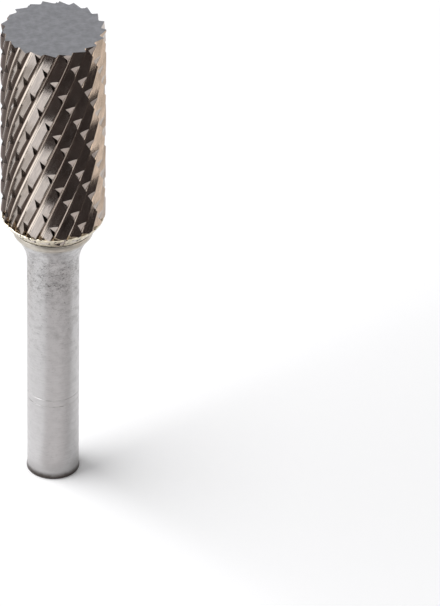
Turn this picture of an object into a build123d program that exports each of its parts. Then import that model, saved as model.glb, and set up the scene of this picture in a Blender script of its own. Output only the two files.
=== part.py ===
from build123d import *
from math import cos, degrees, pi, radians, sin, tan
import os

os.makedirs("parts", exist_ok=True)

# A cylindrical double-cut carbide burr, standing on the foot of its shank, in millimetres.
# The origin is the centre of the foot, and +Z runs up the axis through the head.

overall_length = 60.0

shank_diameter = 6.0
foot_chamfer = 0.3
neck_height = 2.5  # hollow flare between the shank and its rim
neck_hold = 1.76  # how far up the flare keeps to the line of the shank before it swings out
rim_diameter = 9.2
rim_height = 0.8

head_diameter = 12.0
fluted_length = 25.6
lower_bevel_width = 0.5  # how far the bevel at the lower end cuts in from the edges of the teeth
lower_bevel_height = 0.9

root_inset = 0.2  # the plain stub under the teeth is this much smaller in radius than the rim
root_length = 1.2
braze_film = 0.12
braze_flare = 0.65  # how far the braze spreads beyond the rim at its top

tooth_count = 21
tooth_depth = 0.55
foot_width = 0.18  # narrow floor of a gullet, between the cutting face and the next tooth's back
rake_lean = 0.3  # how far the foot of the cutting face leans ahead of the edge
flute_angle = 24.7  # right-hand, from the axis
edge_phase = 6.5  # bearing of one cutting edge at the lower end of the teeth

breaker_count = 11
breaker_angle = 27.7  # left-hand, from the axis
breaker_width = 1.0
breaker_depth = 0.41
breaker_wall_lean = 0.08  # foot of the steep wall, measured across the groove
breaker_overrun = 0.3  # how far a notch runs on past the metal that it cuts
breaker_phase = 17.1  # bearing of one groove at the lower end of the teeth

shank_radius = shank_diameter / 2
head_radius = head_diameter / 2
rim_radius = rim_diameter / 2
root_radius = rim_radius - root_inset
braze_top_radius = rim_radius + braze_flare
head_base = overall_length - fluted_length
root_base = head_base - root_length
braze_base = root_base - braze_film
rim_base = braze_base - rim_height
neck_base = rim_base - neck_height

with BuildPart() as steel_shank:
    with BuildSketch(Plane.XZ):
        with BuildLine():
            Polyline(
                (shank_radius, neck_base),
                (shank_radius, foot_chamfer),
                (shank_radius - foot_chamfer, 0),
                (0, 0),
                (0, braze_base),
                (rim_radius, braze_base),
                (rim_radius, rim_base),
            )
            Bezier((rim_radius, rim_base), (shank_radius, neck_base + neck_hold), (shank_radius, neck_base))
        make_face()
    revolve(axis=Axis.Z)

with BuildPart() as braze_joint:
    with BuildSketch(Plane.XZ):
        with BuildLine():
            Polyline(
                (0, braze_base),
                (rim_radius, braze_base),
                (braze_top_radius, head_base),
                (root_radius, head_base),
                (root_radius, root_base),
                (0, root_base),
                close=True,
            )
        make_face()
    revolve(axis=Axis.Z)

# The section through the teeth is a saw: each cutting face drops from its edge to the floor of
# a gullet, from which the back of the next tooth climbs to its own edge.
tooth_pitch = 360 / tooth_count
lean_turn = degrees(rake_lean / head_radius)
foot_turn = degrees(foot_width / head_radius)
foot_radius = head_radius - tooth_depth


def on_circle(radius, bearing):
    return (radius * cos(radians(bearing)), radius * sin(radians(bearing)))


with BuildSketch(Plane.XY.offset(head_base).rotated((0, 0, edge_phase))) as tooth_section:
    with BuildLine():
        for tooth in range(tooth_count):
            edge = tooth * tooth_pitch
            Polyline(
                on_circle(head_radius, edge),
                on_circle(foot_radius, edge + lean_turn),
                on_circle(foot_radius, edge + lean_turn + foot_turn),
                on_circle(head_radius, edge + tooth_pitch),
            )
    make_face()

# A chip breaker is a shallow groove with one steep wall. Where it crosses a tooth it leaves a
# notch in the edge, which runs out down the back of the tooth. The notch is drawn across the
# groove, with its height as the radius and its walls carried on past the edge, and reaches from
# the cutting face to the run-out.
flute_slope = tan(radians(flute_angle))
breaker_slope = tan(radians(breaker_angle))
tooth_arc = 2 * pi * head_radius / tooth_count
back_fall = tooth_depth / (tooth_arc - rake_lean - foot_width)
crossing_angle = radians(flute_angle + breaker_angle)
run_out = breaker_depth / back_fall * cos(radians(flute_angle)) / sin(crossing_angle)

with BuildPart() as notch:
    with BuildSketch(Plane.XY.offset(-run_out - breaker_overrun)):
        with BuildLine():
            Polyline(
                (-breaker_wall_lean, head_radius + breaker_depth),
                (breaker_wall_lean, head_radius - breaker_depth),
                (2 * breaker_width - breaker_wall_lean, head_radius + breaker_depth),
                close=True,
            )
        make_face()
    extrude(amount=run_out + 2 * breaker_overrun)


def notch_plane(bearing, height):
    across = Vector(cos(radians(breaker_angle)), 0, sin(radians(breaker_angle)))
    along = Vector(sin(radians(breaker_angle)), 0, -cos(radians(breaker_angle)))
    turn = bearing + 90
    return Plane((0, 0, height), across.rotate(Axis.Z, turn), along.rotate(Axis.Z, turn))


# Every groove meets every edge once in each full turn that the two helices close on each other.
closing_rate = degrees((flute_slope + breaker_slope) / head_radius)
crossings = []
for tooth in range(tooth_count):
    for groove in range(breaker_count):
        start = breaker_phase + groove * 360 / breaker_count - edge_phase - tooth * tooth_pitch
        rise = start % 360 / closing_rate
        while rise < fluted_length:
            bearing = edge_phase + tooth * tooth_pitch + degrees(rise * flute_slope / head_radius)
            crossings.append(notch_plane(bearing, head_base + rise))
            rise += 360 / closing_rate

# The lower ends of the teeth are bevelled by a ring that runs on past the edges.
lower_end_radius = head_radius - lower_bevel_width

with BuildPart() as carbide_head:
    add(tooth_section.sketch)
    flute_helix = Helix(2 * pi * head_radius / flute_slope, fluted_length, head_radius, (0, 0, head_base))
    sweep(path=Line((0, 0, head_base), (0, 0, overall_length)), binormal=flute_helix)
    with Locations(*crossings):
        add(notch.part, mode=Mode.SUBTRACT, clean=False)
    with BuildSketch(Plane.XZ):
        with BuildLine():
            Polyline(
                (lower_end_radius, head_base),
                (lower_end_radius + 2 * lower_bevel_width, head_base + 2 * lower_bevel_height),
                (lower_end_radius + 2 * lower_bevel_width, head_base),
                close=True,
            )
        make_face()
    revolve(axis=Axis.Z, mode=Mode.SUBTRACT, clean=False)
    with BuildSketch(Plane.XY.offset(root_base)):
        Circle(root_radius)
    extrude(amount=root_length, clean=False)

steel_shank.part.label = "steel_shank"
braze_joint.part.label = "braze_joint"
carbide_head.part.label = "carbide_head"
export_step(steel_shank.part, "parts/steel_shank.step")
export_step(braze_joint.part, "parts/braze_joint.step")
export_step(carbide_head.part, "parts/carbide_head.step")
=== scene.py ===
import bpy
import bmesh
from math import atan2, cos, pi, radians, sin, tan
from mathutils import Matrix, Vector
from mathutils.noise import noise as noiseAt


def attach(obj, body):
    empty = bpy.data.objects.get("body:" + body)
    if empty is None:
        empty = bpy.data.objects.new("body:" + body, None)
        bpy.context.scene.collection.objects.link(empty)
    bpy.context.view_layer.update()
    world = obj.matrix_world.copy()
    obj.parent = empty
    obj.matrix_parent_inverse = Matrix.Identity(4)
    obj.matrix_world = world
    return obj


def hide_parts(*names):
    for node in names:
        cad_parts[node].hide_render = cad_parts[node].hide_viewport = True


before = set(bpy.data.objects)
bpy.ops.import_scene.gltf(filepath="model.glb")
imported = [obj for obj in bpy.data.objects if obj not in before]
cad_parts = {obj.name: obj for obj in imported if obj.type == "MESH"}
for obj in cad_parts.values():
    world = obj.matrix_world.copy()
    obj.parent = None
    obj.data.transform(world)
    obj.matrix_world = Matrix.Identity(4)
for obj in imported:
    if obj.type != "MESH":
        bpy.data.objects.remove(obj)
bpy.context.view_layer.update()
print("frame loaded", sorted(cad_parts))

mm = 0.001
scene = bpy.context.scene
scene.view_settings.view_transform = "Standard"


# small helpers for node trees

def newMaterial(name):
    material = bpy.data.materials.new(name)
    material.use_nodes = True
    tree = material.node_tree
    tree.nodes.clear()
    out = tree.nodes.new("ShaderNodeOutputMaterial")
    shader = tree.nodes.new("ShaderNodeBsdfPrincipled")
    tree.links.new(shader.outputs["BSDF"], out.inputs["Surface"])
    return material, tree, shader


def plug(tree, value, socket):
    # a socket takes another node's output, or a plain number or colour
    if isinstance(value, bpy.types.NodeSocket):
        tree.links.new(value, socket)
    elif value is not None:
        socket.default_value = value


def sums(tree, kind, a, b=None, c=None):
    node = tree.nodes.new("ShaderNodeMath")
    node.operation = kind
    for socket, value in zip(node.inputs, (a, b, c)):
        plug(tree, value, socket)
    return node.outputs[0]


def times(tree, a, b):
    return sums(tree, "MULTIPLY", a, b)


def fade(tree, value, low, high, start=0.0, end=1.0):
    # start at low, end at high, and smooth between
    node = tree.nodes.new("ShaderNodeMapRange")
    node.interpolation_type = "SMOOTHSTEP"
    plug(tree, value, node.inputs["Value"])
    for key, part in (("From Min", low), ("From Max", high), ("To Min", start), ("To Max", end)):
        plug(tree, part, node.inputs[key])
    return node.outputs["Result"]


def band(tree, value, low, high, soft):
    # 1 between low and high, 0 outside
    rise = fade(tree, value, low - soft, low + soft)
    fall = fade(tree, value, high - soft, high + soft, 1.0, 0.0)
    return times(tree, rise, fall)


def noise(tree, vector, scale, detail=3.0, roughness=0.55):
    node = tree.nodes.new("ShaderNodeTexNoise")
    node.inputs["Scale"].default_value = scale
    node.inputs["Detail"].default_value = detail
    node.inputs["Roughness"].default_value = roughness
    plug(tree, vector, node.inputs["Vector"])
    return node.outputs["Fac"]


def mixed(tree, factor, a, b):
    node = tree.nodes.new("ShaderNodeMix")
    node.data_type = "RGBA"
    plug(tree, factor, node.inputs["Factor"])
    plug(tree, a, node.inputs["A"])
    plug(tree, b, node.inputs["B"])
    return node.outputs["Result"]


def stretched(tree, vector, factors):
    node = tree.nodes.new("ShaderNodeVectorMath")
    node.operation = "MULTIPLY"
    plug(tree, vector, node.inputs[0])
    node.inputs[1].default_value = factors
    return node.outputs[0]


def millimetres(tree):
    # object coordinates in millimetres, and the height among them
    where = tree.nodes.new("ShaderNodeTexCoord")
    spot = stretched(tree, where.outputs["Object"], (1 / mm, 1 / mm, 1 / mm))
    split = tree.nodes.new("ShaderNodeSeparateXYZ")
    plug(tree, spot, split.inputs[0])
    return spot, split.outputs["Z"]


def fromAxis(tree, spot):
    node = tree.nodes.new("ShaderNodeVectorMath")
    node.operation = "LENGTH"
    plug(tree, stretched(tree, spot, (1, 1, 0)), node.inputs[0])
    return node.outputs["Value"]


def ownValue(tree, name):
    # a value kept on the piece's own faces
    node = tree.nodes.new("ShaderNodeAttribute")
    node.attribute_name = name
    return node.outputs["Fac"]


def seenRays(tree):
    # 1 for what the camera or polished metal sees, 0 for what lights the scene
    path = tree.nodes.new("ShaderNodeLightPath")
    return sums(tree, "MAXIMUM", path.outputs["Is Camera Ray"], path.outputs["Is Glossy Ray"])


def bumped(tree, shader, height, distance):
    node = tree.nodes.new("ShaderNodeBump")
    node.inputs["Distance"].default_value = distance
    node.inputs["Strength"].default_value = 1.0
    plug(tree, height, node.inputs["Height"])
    plug(tree, node.outputs["Normal"], shader.inputs["Normal"])


# small helpers for meshes

mergeWithin = 1e-7  # metres


def linked(bm, name):
    mesh = bpy.data.meshes.new(name)
    bm.to_mesh(mesh)
    bm.free()
    ob = bpy.data.objects.new(name, mesh)
    scene.collection.objects.link(ob)
    return ob


def placed(bm, name, replaced, sharpFrom=35):
    # a finished piece, smooth but for the edges that turn by more than sharpFrom degrees
    ob = linked(bm, name)
    ob.data.shade_smooth()
    ob.data.set_sharp_from_angle(angle=radians(sharpFrom))
    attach(ob, "root")
    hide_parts(replaced)
    return ob


def spun(outline, steps, closed=False):
    # an outline of (radius, height) in millimetres, turned once round the axis
    bm = bmesh.new()
    line = [bm.verts.new((r * mm, 0, z * mm)) for r, z in outline]
    ends = line[1:] + line[:1] if closed else line[1:]
    edges = [bm.edges.new(pair) for pair in zip(line, ends)]
    bmesh.ops.spin(
        bm, geom=line + edges, cent=(0, 0, 0), axis=(0, 0, 1), angle=2 * pi, steps=steps, use_merge=True
    )
    bmesh.ops.remove_doubles(bm, verts=bm.verts, dist=mergeWithin)
    bmesh.ops.recalc_face_normals(bm, faces=bm.faces)
    return bm


# camera

camera = {
    "lens": 552.9,
    "sensor": 36.0,
    "clip": (0.1, 20.0),
    "place": (0.0, -0.88802, 0.62185),
    "turn": -1.239,
    "tip": 55.999,
    "roll": 0.72,
}
camData = bpy.data.cameras.new("camera")
camData.lens = camera["lens"]
camData.sensor_width = camera["sensor"]
camData.clip_start, camData.clip_end = camera["clip"]
cam = bpy.data.objects.new("camera", camData)
scene.collection.objects.link(cam)
cam.matrix_world = (
    Matrix.Translation(camera["place"])
    @ Matrix.Rotation(radians(camera["turn"]), 4, "Z")
    @ Matrix.Rotation(radians(camera["tip"]), 4, "X")
    @ Matrix.Rotation(radians(camera["roll"]), 4, "Z")
)
scene.camera = cam
print("camera placed")


# stage: a pale table in a white room, with one wide lamp at the left

table = {
    "reach": 3.0,
    "colour": (0.955, 0.955, 0.965, 1),
    "roughness": 0.9,
    "lift": 0.075,  # a little light of its own, which is seen but lights nothing
}
tablePaint, tree, shader = newMaterial("tablePaint")
shader.inputs["Base Color"].default_value = table["colour"]
shader.inputs["Roughness"].default_value = table["roughness"]
shader.inputs["Specular IOR Level"].default_value = 0.0
shader.inputs["Emission Color"].default_value = (1, 1, 1, 1)
plug(tree, times(tree, seenRays(tree), table["lift"]), shader.inputs["Emission Strength"])
bm = bmesh.new()
bmesh.ops.create_grid(bm, x_segments=1, y_segments=1, size=table["reach"])
tableTop = linked(bm, "table")
tableTop.data.materials.append(tablePaint)

# Mats on the table that only the metal sees, as it mirrors them: a dark one some way in front of
# the tool, a warm one to its right, and grey ones to its left and close to its foot.
mats = {
    "height": 0.5,  # in millimetres, like the corners
    "roughness": 0.8,
    "clouds": (0.6, 1.7),  # a mat's darkest and lightest patches, as shares of its colour
    "sheets": {
        "darkMat": ((0.045, 0.036, 0.034), [(-90, -72), (-1500, -640), (1200, -954), (90, -52)]),
        "warmMat": ((0.78, 0.68, 0.58), [(90, -52), (1200, -954), (1500, 500), (110, 70)]),
        "leftMat": ((0.50, 0.485, 0.47), [(-45, 4), (-1500, 100), (-1500, 1500), (-30, 45)]),
        "greyMat": ((0.50, 0.485, 0.485), [(-4, -4), (-40, -70), (90, -52), (70, -3)]),
    },
}


def mirroredMat(name, colour, corners):
    paint, tree, shader = newMaterial(name + "Paint")
    where = tree.nodes.new("ShaderNodeTexCoord")
    cloud = noise(tree, where.outputs["Object"], scale=9.0, detail=4.0, roughness=0.6)
    dark, light = [tuple(share * part for part in colour) + (1,) for share in mats["clouds"]]
    plug(tree, mixed(tree, fade(tree, cloud, 0.35, 0.65), dark, light), shader.inputs["Base Color"])
    shader.inputs["Roughness"].default_value = mats["roughness"]
    shader.inputs["Specular IOR Level"].default_value = 0.0
    bm = bmesh.new()
    bm.faces.new([bm.verts.new((x * mm, y * mm, mats["height"] * mm)) for x, y in corners])
    bmesh.ops.recalc_face_normals(bm, faces=bm.faces)
    ob = linked(bm, name)
    ob.data.materials.append(paint)
    for ray in ("visible_camera", "visible_diffuse", "visible_shadow"):
        setattr(ob, ray, False)


for name, (colour, corners) in mats["sheets"].items():
    mirroredMat(name, colour, corners)

room = {
    "fill": 0.36,  # what lights the tool and the table
    "seen": 1.0,  # what the camera and the metal see
}
world = bpy.data.worlds.new("studio")
scene.world = world
world.use_nodes = True
tree = world.node_tree
back = tree.nodes["Background"]
back.inputs["Color"].default_value = (1, 1, 1, 1)
glow = sums(tree, "MULTIPLY_ADD", seenRays(tree), room["seen"] - room["fill"], room["fill"])
plug(tree, glow, back.inputs["Strength"])

keyLamp = {
    "bearing": 175,
    "height": 29,  # in degrees above the table
    "away": 3.0,
    "size": (4.6, 2.0),
    "power": 168.0,
    "aim": (0, 0, 0.03),
}
lampData = bpy.data.lights.new("keyLamp", "AREA")
lampData.shape = "RECTANGLE"
lampData.size, lampData.size_y = keyLamp["size"]
lampData.energy = keyLamp["power"]
lamp = bpy.data.objects.new("keyLamp", lampData)
scene.collection.objects.link(lamp)
swing = Matrix.Rotation(radians(keyLamp["bearing"]), 4, "Z")
swing = swing @ Matrix.Rotation(radians(-keyLamp["height"]), 4, "Y")
aim = Vector(keyLamp["aim"])
place = swing @ Vector((keyLamp["away"], 0, 0)) + aim
lamp.location = place
lamp.rotation_mode = "QUATERNION"
lamp.rotation_quaternion = (aim - place).to_track_quat("-Z", "Y")
print("stage and lamp set")


# steel shank: turned and ground, with a scribed pair of lines, scuffs and painted shade at its foot

shank = {
    "radius": 3.0,
    "rimRadius": 4.6,
    "neckBase": 28.8,
    "neckHold": 1.8,
    "neckSteps": 24,
    "rimBase": 32.7,
    "rimTop": 33.45,
    "seat": 33.08,  # floor of the shallow cup that the head is brazed in
    "seatRadius": 4.42,
    # rounded edges, as (out, up) from the corner that they replace
    "footRoll": [
        (-0.22, 0), (-0.06, 0.03), (0.05, 0.1), (0.07, 0.2),
        (0.06, 0.38), (0.01, 0.62), (0, 0.8), (0, 0.9),
    ],
    "rimUnder": [(-0.04, 0.01), (0, 0.09)],
    "rimOver": [(0, -0.12), (-0.04, -0.03), (-0.12, 0)],
    "neckEnd": (-0.12, -0.02),  # where the neck ends, from the lower corner of the rim
    "scribed": [(10.18, 0.05), (11.03, 0.04)],  # height and half width of each scribed line
    "scribedDepth": 0.025,
    "scribedRoom": 0.1,  # plain shank kept flat to each side of a scribed line
    "neckRoom": 0.2,  # and below the neck
    "segments": 96,
    "metal": (0.585, 0.575, 0.575, 1),
    "metalDark": (0.39, 0.38, 0.38, 1),
    # the colour of the pits, scuffs, scribed lines and braze seam, and of the painted shade at the foot
    # and under the rim
    "stainAndShade": (0.05, 0.04, 0.035, 1),
    "straw": (0.62, 0.56, 0.45, 1),
    # how strongly each mark shows, from 0 to 1, and the heights that it lies or grows over
    "grinding": 0.35,
    "heated": (12.0, 27.0),
    "heatedShare": (0.25, 1.0),  # of the blotches and pits, below those heights and above
    "blotches": 0.85,
    "pitting": 0.75,
    "scuffed": (25.5, 31.0),
    "scuffedSoft": 1.6,
    "scuffing": 0.6,
    "scribedDark": (0.55, 0.1),  # a scribed line at its darkest and its most worn
    # painted shade at the foot, where the shank stands on the table
    "footShade": [((0.55, 1.3), 0.94), ((0.8, 3.2), 0.3)],
    "tinted": (32.4, 33.0),
    "tint": 0.55,
    "seam": 0.95,  # where the braze starts, on top of the rim
    "rimShade": (0.55, 0.2),  # painted shade under the rim, at its darkest and its faintest
    "rough": (0.30, 0.44),
    "bump": 0.012,
}


def shankOutline():
    s = shank
    r, edge, base, top = s["radius"], s["rimRadius"], s["rimBase"], s["rimTop"]
    rim = [(0, 0)] + [(r + out, up) for out, up in s["footRoll"]]
    for height, half in s["scribed"]:
        rim += [(r, height - s["scribedRoom"]), (r, height - half), (r - s["scribedDepth"], height)]
        rim += [(r, height + half), (r, height + s["scribedRoom"])]
    rim.append((r, s["neckBase"] - s["neckRoom"]))
    start, hold = Vector((r, s["neckBase"])), Vector((r, s["neckBase"] + s["neckHold"]))
    end = Vector((edge + s["neckEnd"][0], base + s["neckEnd"][1]))
    for step in range(s["neckSteps"] + 1):
        t = step / s["neckSteps"]
        rim.append(tuple(start * (1 - t) ** 2 + hold * 2 * t * (1 - t) + end * t * t))
    rim += [(edge + out, base + up) for out, up in s["rimUnder"]]
    rim += [(edge + out, top + up) for out, up in s["rimOver"]]
    rim += [(s["seatRadius"], top), (s["seatRadius"], s["seat"]), (0, s["seat"])]
    return rim


def steelFinish():
    s = shank
    material, tree, shader = newMaterial("groundSteel")
    spot, z = millimetres(tree)
    # grinding runs round the shank
    turned = noise(tree, stretched(tree, spot, (0.35, 0.35, 14)), scale=1.0, detail=5.0, roughness=0.6)
    mottle = noise(tree, stretched(tree, spot, (1, 1, 1.3)), scale=1.1, detail=5.0, roughness=0.62)
    pits = noise(tree, stretched(tree, spot, (1, 1, 2.2)), scale=3.2, detail=3.0, roughness=0.7)
    speckle = noise(tree, stretched(tree, spot, (2.2, 2.2, 3.4)), scale=2.4, detail=2.0, roughness=0.5)
    fine = noise(tree, spot, scale=6.0, detail=4.0, roughness=0.6)

    # the heat of brazing has left the upper end blotched and pitted
    upper = fade(tree, z, *s["heated"], *s["heatedShare"])
    ground = fade(tree, turned, 0.35, 0.75, 0.0, s["grinding"])
    metal = mixed(tree, ground, s["metal"], s["metalDark"])
    blotch = times(tree, fade(tree, mottle, 0.42, 0.72, 0.0, s["blotches"]), upper)
    metal = mixed(tree, blotch, metal, s["metalDark"])
    pit = times(tree, fade(tree, pits, 0.60, 0.70, 0.0, s["pitting"]), upper)
    metal = mixed(tree, pit, metal, s["stainAndShade"])

    patchy = fade(tree, mottle, 0.35, 0.6, 0.35, 1.0)
    zone = times(tree, band(tree, z, *s["scuffed"], s["scuffedSoft"]), patchy)
    scuff = times(tree, fade(tree, speckle, 0.52, 0.66, 0.0, s["scuffing"]), zone)
    metal = mixed(tree, scuff, metal, s["stainAndShade"])
    worn = fade(tree, mottle, 0.38, 0.55, *s["scribedDark"])
    for height, half in s["scribed"]:
        line = times(tree, band(tree, z, height - half, height + half, 0.03), worn)
        metal = mixed(tree, line, metal, s["stainAndShade"])

    # the foot's painted shade is darkest at the very edge, and thins out above it
    ragged = sums(tree, "MULTIPLY_ADD", mottle, 0.5, z)
    for heights, dark in s["footShade"]:
        metal = mixed(tree, fade(tree, ragged, *heights, dark, 0.0), metal, s["stainAndShade"])
    metal = mixed(tree, fade(tree, ragged, *s["tinted"], 0.0, s["tint"]), metal, s["straw"])

    wavy = sums(tree, "MULTIPLY_ADD", fine, 0.16, z)
    seam = fade(tree, wavy, s["rimTop"] - 0.02, s["rimTop"] + 0.04, 0.0, s["seam"])
    metal = mixed(tree, seam, metal, s["stainAndShade"])
    # painted shade in the corner under the rim
    rimShade = band(tree, z, s["rimBase"] - 0.08, s["rimBase"] + 0.02, 0.03)
    under = times(tree, rimShade, fade(tree, fine, 0.35, 0.6, *s["rimShade"]))
    metal = mixed(tree, under, metal, s["stainAndShade"])

    plug(tree, metal, shader.inputs["Base Color"])
    shader.inputs["Metallic"].default_value = 1.0
    plug(tree, fade(tree, mottle, 0.3, 0.7, *s["rough"]), shader.inputs["Roughness"])
    height = sums(tree, "MULTIPLY_ADD", turned, 0.5, times(tree, pits, -0.8))
    bumped(tree, shader, height, s["bump"] * mm)
    return material


shankPiece = placed(spun(shankOutline(), shank["segments"]), "shankTurned", "steel_shank")
shankPiece.data.materials.append(steelFinish())
print("shank turned")


# braze: a bead that has run up over the ends of the teeth, uneven and pitted

braze = {
    "outline": [
        (4.3, 33.46), (4.5, 33.44), (4.6, 33.5), (4.68, 33.6), (4.84, 33.76),
        (5.06, 33.98), (5.3, 34.24), (5.54, 34.5), (5.74, 34.78), (5.88, 35.0),
        (5.91, 35.08), (5.86, 35.14), (5.6, 35.0), (5.3, 34.7), (4.3, 34.3),
    ],
    "segments": 360,
    # the surface wanders in and out, and its upper edge creeps up and down: each starts at a
    # height and is free a little above it
    "skin": 4.53,  # only what lies outside this radius is uneven
    "wave": 0.05,
    "waveScales": (1.7, 5.5),
    "waveFoot": (33.5, 0.4),
    "creep": 0.22,
    "creepScales": (0.75, 2.4),
    "creepFoot": (34.0, 1.0),
    "creepRing": 5,  # radius of the ring that the creep's noise is read on
    "shrink": 0.15,  # how far the bead draws in where its edge has stayed low
    "metal": (0.60, 0.55, 0.42, 1),
    "bright": (0.88, 0.81, 0.67, 1),
    "scorch": (0.09, 0.07, 0.05, 1),
    "lineTop": 33.66,  # of the scorched line that follows the rim
    "lineSoft": 0.06,
    "lineRagged": 1.1,
    "lineDark": (0.98, 0.45),  # at its darkest and its faintest
    "pitted": (34.2, 34.5),  # pits appear over these heights, near the teeth
    "rough": (0.26, 0.45),
    "bump": 0.03,
}


def ramp(value, foot):
    # 0 at the foot, 1 once past its rise
    low, rise = foot
    return max(0.0, min(1.0, (value - low) / rise))


def uneven(coarse, fine):
    # a coarse noise with a finer one over it
    return noiseAt(coarse) * 0.6 + noiseAt(fine) * 0.4


def brazeBead():
    b = braze
    waveCoarse, waveFine = b["waveScales"]
    creepCoarse, creepFine = b["creepScales"]
    elsewhere = Vector((0, 0, 9))  # keeps the two noises of the creep from repeating each other
    bm = spun(b["outline"], b["segments"], closed=True)
    for v in bm.verts:
        spot = Vector(v.co / mm)
        flat = Vector((spot.x, spot.y, 0))
        outward = flat.normalized()
        ring = outward * b["creepRing"]
        free = ramp(spot.z, b["waveFoot"]) if flat.length > b["skin"] else 0.0
        up = ramp(spot.z, b["creepFoot"])
        wander = uneven(spot * waveCoarse, spot * waveFine)
        rise = uneven(ring * creepCoarse + elsewhere, ring * creepFine)
        v.co.z += b["creep"] * rise * up * free * mm
        v.co += outward * (b["wave"] * wander * free - b["shrink"] * max(0, -rise) * up * up) * mm
    return placed(bm, "brazeBead", "braze_joint")


def brazeFinish():
    b = braze
    material, tree, shader = newMaterial("brazeAlloy")
    spot, z = millimetres(tree)
    cloud = noise(tree, spot, scale=1.6, detail=5.0, roughness=0.65)
    fine = noise(tree, spot, scale=7.0, detail=4.0, roughness=0.6)
    bubbles = noise(tree, spot, scale=2.0, detail=1.0, roughness=0.4)
    metal = mixed(tree, fade(tree, cloud, 0.35, 0.7), b["metal"], b["bright"])

    ragged = sums(tree, "MULTIPLY_ADD", sums(tree, "SUBTRACT", fine, 0.5), b["lineRagged"], z)
    line = fade(tree, ragged, b["lineTop"] - b["lineSoft"], b["lineTop"] + b["lineSoft"], 1.0, 0.0)
    faint = fade(tree, cloud, 0.38, 0.6, *b["lineDark"])
    metal = mixed(tree, times(tree, line, faint), metal, b["scorch"])

    # pits with bright rims
    pits = times(tree, fade(tree, bubbles, 0.60, 0.63), fade(tree, z, *b["pitted"]))
    metal = mixed(tree, fade(tree, bubbles, 0.52, 0.58), metal, b["bright"])
    metal = mixed(tree, pits, metal, b["scorch"])

    plug(tree, metal, shader.inputs["Base Color"])
    shader.inputs["Metallic"].default_value = 1.0
    plug(tree, fade(tree, fine, 0.3, 0.7, *b["rough"]), shader.inputs["Roughness"])
    lumps = sums(tree, "MULTIPLY_ADD", cloud, 2.0, fine)
    bumped(tree, shader, sums(tree, "SUBTRACT", lumps, times(tree, pits, 1.5)), b["bump"] * mm)
    return material


bead = brazeBead()
bead.data.materials.append(brazeFinish())
print("braze laid")


# carbide head: warm ground metal, straw-tinted gullets with painted highlights and a brown film, painted
# shade on the cutting faces and the notches' steep walls, and a matt end face whose cool dark grey is
# painted shade

carbide = {
    "radius": 6.0,
    "fluteFoot": 34.4,
    "top": 60.0,
    "rows": 80,
    "teeth": 21,
    "flutePhase": 6.5,  # bearing of one cutting edge at the foot, in degrees
    "fluteAngle": radians(24.7),
    "depth": 0.55,
    "lean": 0.3,
    "floorWidth": 0.25,
    "floorRound": 0.07,
    "floorSteps": 3,
    "landBack": 1.70,  # where the back of a tooth starts its narrow land
    "landDrop": 0.03,
    "breakers": 11,
    "breakerPhase": 15.3,
    "breakerAngle": radians(27.7),
    "breakerOverrun": 1.0,
    "acrossBreaker": (0.885, 0.465),  # the way across a breaker, as shares of ahead and up
    "notchWidth": 0.92,
    "notchDepth": 0.40,
    "notchLean": 0.08,
    "endRadius": 5.5,
    "bevelHeight": 0.9,
    "bevelNick": 0.02,  # the ring that cuts the bevel starts inside it by this share of its size
    "bevelSteps": 180,
    "rootRadius": 4.4,
    "rootBase": 33.2,
    "rootSunk": 0.8,  # how far the root runs up inside the teeth
    "rootSegments": 96,
    "sharpFrom": 11,
    "flatWeight": 90,  # how much more the large faces weigh in the shading
    "metal": (0.60, 0.535, 0.49, 1),
    "metalDark": (0.42, 0.375, 0.345, 1),
    # brown film, and painted shade, on the cutting faces and in a line along the gullets
    "filmAndShade": (0.085, 0.063, 0.053, 1),
    # light straw for the gullet floors, brightened as painted highlight, and painted highlight at the
    # foot of each back
    "floor": (0.90, 0.79, 0.69, 1),
    "notch": (0.46, 0.40, 0.355, 1),
    # painted shade for the steep wall of a notch
    "wall": (0.055, 0.045, 0.04, 1),
    # the end face's cool dark greys are painted shade
    "endFaceShaded": (0.232, 0.234, 0.251, 1),
    "endFaceShadedDark": (0.170, 0.172, 0.185, 1),
    # places across a tooth, from 0 at one cutting edge to 1 at the next
    "faceEnd": (0.15, 0.18),
    "gulletSpan": (0.175, 0.31),
    "scoredSpan": (0.318, 0.338),
    "backFoot": (0.345, 0.41),
    "spanSoft": 0.012,
    # radii where the brown film and painted shade on the cutting faces wear thin, and where the gullets'
    # straw and painted highlight give out
    "worn": (5.75, 5.99),
    "shallow": (5.56, 5.62),
    # how strongly each mark shows, at its two ends where there are two
    "filmAndShadeOnFace": (0.97, 0.7),
    "scoring": (0.5, 0.95),
    # painted highlight at the foot of each back
    "backHighlight": 0.8,
    "slopeLines": (0.75, 0.2),
    "wallDark": 0.95,
    "endFrom": (59.97, 59.985),
    "endMetallic": 0.2,
    "fluteRough": (0.09, 0.2),
    "endRough": (0.55, 0.68),
    "bump": 0.006,
}
# how far the two helices turn in a millimetre of height
carbide["fluteTurn"] = tan(carbide["fluteAngle"]) / carbide["radius"]
carbide["breakerTurn"] = tan(carbide["breakerAngle"]) / carbide["radius"]


def twistedPrism(bm, faces, height, turn, steps):
    step = Vector((0, 0, height / steps * mm))
    bmesh.ops.spin(bm, geom=faces, cent=(0, 0, 0), axis=(0, 0, 1), dvec=step, angle=turn, steps=steps)
    bmesh.ops.recalc_face_normals(bm, faces=bm.faces)


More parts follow.
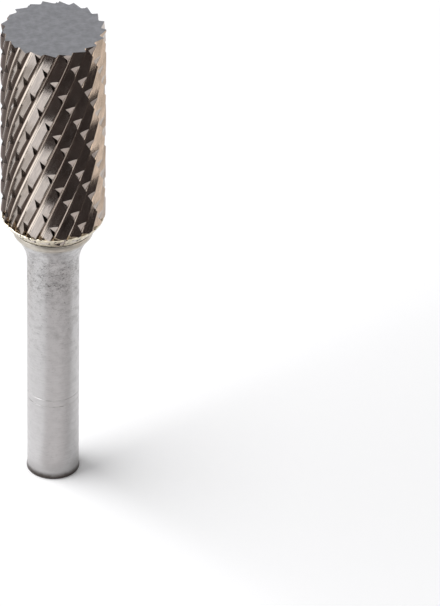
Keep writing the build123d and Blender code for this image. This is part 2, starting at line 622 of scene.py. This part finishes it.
def flutedColumn():
    c = carbide
    gullet, land = c["radius"] - c["depth"], c["radius"] - c["landDrop"]
    # a tooth's edge, the two corners of its gullet and the start of the land, as (arc, radius)
    back = c["lean"] + c["floorWidth"]
    tooth = [(0, c["radius"]), (c["lean"], gullet), (back, gullet), (c["landBack"], land)]
    pitch = 2 * pi / c["teeth"]
    start = radians(c["flutePhase"])
    justUnder = 2 * pi - 1e-4  # a hair less than a full turn, so that the corner at 0 comes first
    bm = bmesh.new()
    bmesh.ops.create_circle(bm, cap_ends=True, segments=len(tooth) * c["teeth"], radius=c["radius"] * mm)
    corners = []
    for n, v in enumerate(sorted(bm.verts, key=lambda v: atan2(v.co.y, v.co.x) % justUnder)):
        number, part = divmod(n, len(tooth))
        arc, r = tooth[part]
        bearing = start + number * pitch + arc / c["radius"]
        v.co = Vector((cos(bearing), sin(bearing), 0)) * r * mm + Vector((0, 0, c["fluteFoot"] * mm))
        if r == gullet:
            corners.append(v)
    bmesh.ops.bevel(
        bm, geom=corners, offset=c["floorRound"] * mm, segments=c["floorSteps"], profile=0.5,
        affect="VERTICES", material=-1,
    )
    height = c["top"] - c["fluteFoot"]
    twistedPrism(bm, bm.faces[:], height, c["fluteTurn"] * height, c["rows"])
    return linked(bm, "flutedColumn")


def breakerCutters():
    # left-hand grooves with one steep wall, which run on past both ends of the teeth
    c = carbide
    wide = 2 * c["notchWidth"] / cos(c["breakerAngle"])
    outer, inner = c["radius"] + c["notchDepth"], c["radius"] - c["notchDepth"]
    section = [(-c["notchLean"], outer), (c["notchLean"], inner), (wide - c["notchLean"], outer)]
    foot = c["fluteFoot"] - c["breakerOverrun"]
    first = radians(c["breakerPhase"])
    bm = bmesh.new()
    for groove in range(c["breakers"]):
        start = first + groove * 2 * pi / c["breakers"] + c["breakerOverrun"] * c["breakerTurn"]
        ring = []
        for across, r in section:
            bearing = start + across / c["radius"]
            ring.append(bm.verts.new(Vector((r * cos(bearing), r * sin(bearing), foot)) * mm))
        bm.faces.new(ring)
    height = c["top"] - c["fluteFoot"] + 2 * c["breakerOverrun"]
    twistedPrism(bm, bm.faces[:], height, -c["breakerTurn"] * height, c["rows"])
    return linked(bm, "breakerCutters")


def lowerBevel():
    # a ring that runs on past the edges of the teeth
    c = carbide
    fall, foot, nick = c["radius"] - c["endRadius"], c["fluteFoot"], c["bevelNick"]
    inner, low = c["endRadius"] - nick * fall, foot - nick * c["bevelHeight"]
    outer, high = c["endRadius"] + 2 * fall, foot + 2 * c["bevelHeight"]
    ring = spun([(inner, low), (outer, high), (outer, low)], c["bevelSteps"], closed=True)
    return linked(ring, "lowerBevel")


def rootStub():
    c = carbide
    bm = bmesh.new()
    r, tall = c["rootRadius"] * mm, c["fluteFoot"] + c["rootSunk"] - c["rootBase"]
    bmesh.ops.create_cone(
        bm, cap_ends=True, segments=c["rootSegments"], radius1=r, radius2=r, depth=tall * mm
    )
    bmesh.ops.translate(bm, verts=bm.verts, vec=(0, 0, (c["rootBase"] + tall / 2) * mm))
    return linked(bm, "rootStub")


def markNotches(bm):
    # tells the steep wall of a notch and its gentle slope by the way that they face
    aheadShare, upShare = carbide["acrossBreaker"]
    walls = bm.faces.layers.float.new("notchWall")
    slopes = bm.faces.layers.float.new("notchSlope")
    for face in bm.faces:
        spot, n = face.calc_center_median(), face.normal
        outward = Vector((spot.x, spot.y, 0)).normalized()
        ahead = n.dot(Vector((-outward.y, outward.x, 0)))
        across = ahead * aheadShare + n.z * upShare
        steep = ahead > 0.55 and n.z > 0.25
        gentle = n.dot(outward) > 0.8 and ahead < -0.2 and n.z < 0.3 * ahead and across < -0.3
        face[walls] = 1.0 if steep else 0.0
        face[slopes] = 1.0 if gentle else 0.0


def carbideHead():
    head = flutedColumn()
    cutters = {breakerCutters(): "DIFFERENCE", lowerBevel(): "DIFFERENCE", rootStub(): "UNION"}
    for cutter, operation in cutters.items():
        cut = head.modifiers.new(cutter.name, "BOOLEAN")
        cut.object = cutter
        cut.operation = operation
        cut.solver = "EXACT"
    bpy.context.view_layer.update()
    done = bpy.data.meshes.new_from_object(head.evaluated_get(bpy.context.evaluated_depsgraph_get()))
    for ob in (head, *cutters):
        bpy.data.objects.remove(ob)
    bm = bmesh.new()
    bm.from_mesh(done)
    bmesh.ops.remove_doubles(bm, verts=bm.verts, dist=2 * mergeWithin)
    bmesh.ops.dissolve_degenerate(bm, edges=bm.edges, dist=mergeWithin)
    markNotches(bm)
    print("head faces", len(bm.faces), "open edges", sum(len(e.link_faces) != 2 for e in bm.edges))
    piece = placed(bm, "carbideHead", "carbide_head", carbide["sharpFrom"])
    weigh = piece.modifiers.new("flatFaces", "WEIGHTED_NORMAL")
    weigh.keep_sharp = True
    weigh.weight = carbide["flatWeight"]
    return piece


def carbideFinish():
    c = carbide
    material, tree, shader = newMaterial("groundCarbide")
    spot, z = millimetres(tree)
    r = fromAxis(tree, spot)

    # turned back by the helix at every height, the teeth stand upright
    lift = sums(tree, "SUBTRACT", z, c["fluteFoot"])
    untwist = tree.nodes.new("ShaderNodeVectorRotate")
    untwist.rotation_type = "Z_AXIS"
    plug(tree, spot, untwist.inputs["Vector"])
    turn = sums(tree, "MULTIPLY_ADD", lift, -c["fluteTurn"], -radians(c["flutePhase"]))
    plug(tree, turn, untwist.inputs["Angle"])
    upright = untwist.outputs[0]
    split = tree.nodes.new("ShaderNodeSeparateXYZ")
    plug(tree, upright, split.inputs[0])
    bearing = sums(tree, "ARCTAN2", split.outputs["Y"], split.outputs["X"])
    tooth = sums(tree, "FRACT", times(tree, bearing, c["teeth"] / (2 * pi)))

    streaks = noise(tree, stretched(tree, upright, (8, 8, 0.9)), scale=1.0, detail=5.0, roughness=0.65)
    grain = noise(tree, spot, scale=9.0, detail=5.0, roughness=0.65)
    patches = noise(tree, spot, scale=1.1, detail=4.0, roughness=0.6)
    lines = noise(tree, stretched(tree, spot, (14, 14, 1.5)), scale=1.0, detail=2.0)
    metal = mixed(tree, fade(tree, streaks, 0.3, 0.75), c["metal"], c["metalDark"])
    metal = mixed(tree, fade(tree, patches, 0.38, 0.7, 0.0, 0.5), metal, c["metalDark"])

    # brown film with painted shade on the cutting faces, and a brown line along the gullets
    worn = fade(tree, r, *c["worn"], *c["filmAndShadeOnFace"])
    face = times(tree, fade(tree, tooth, *c["faceEnd"], 1.0, 0.0), worn)
    broken = fade(tree, patches, 0.3, 0.5, *c["scoring"])
    scored = times(tree, band(tree, tooth, *c["scoredSpan"], c["spanSoft"]), broken)
    metal = mixed(tree, sums(tree, "MAXIMUM", face, scored), metal, c["filmAndShade"])

    # straw and painted highlight on the floor of a gullet, and painted highlight at the foot of the next
    # back, but not in a notch
    shallow = fade(tree, r, *c["shallow"], 1.0, 0.0)
    gullet = times(tree, band(tree, tooth, *c["gulletSpan"], c["spanSoft"]), shallow)
    foot = times(tree, band(tree, tooth, *c["backFoot"], c["spanSoft"]), c["backHighlight"])
    metal = mixed(tree, sums(tree, "MAXIMUM", gullet, foot), metal, c["floor"])

    # grinding lines on the gentle slope of a notch, and painted shade on its steep wall
    ground = fade(tree, lines, 0.35, 0.65, *c["slopeLines"])
    metal = mixed(tree, times(tree, ownValue(tree, "notchSlope"), ground), metal, c["notch"])
    metal = mixed(tree, times(tree, ownValue(tree, "notchWall"), c["wallDark"]), metal, c["wall"])

    # the end face is lapped and mostly matt, and its cool dark grey is painted shade
    end = fade(tree, z, *c["endFrom"])
    strokes = noise(tree, stretched(tree, spot, (1.6, 6, 1)), scale=1.0, detail=6.0, roughness=0.75)
    lapped = sums(tree, "MULTIPLY_ADD", strokes, 0.45, times(tree, patches, 0.55))
    endShadedMetal = mixed(tree, fade(tree, lapped, 0.38, 0.62), c["endFaceShaded"], c["endFaceShadedDark"])
    plug(tree, mixed(tree, end, metal, endShadedMetal), shader.inputs["Base Color"])
    plug(tree, sums(tree, "MULTIPLY_ADD", end, c["endMetallic"] - 1.0, 1.0), shader.inputs["Metallic"])
    fluteRough = fade(tree, streaks, 0.3, 0.7, *c["fluteRough"])
    endRough = fade(tree, lapped, 0.3, 0.7, *c["endRough"])
    rough = sums(tree, "MULTIPLY_ADD", sums(tree, "SUBTRACT", endRough, fluteRough), end, fluteRough)
    plug(tree, rough, shader.inputs["Roughness"])
    bumped(tree, shader, sums(tree, "MULTIPLY_ADD", grain, 0.35, streaks), c["bump"] * mm)
    return material


head = carbideHead()
head.data.materials.append(carbideFinish())
print("head ground")
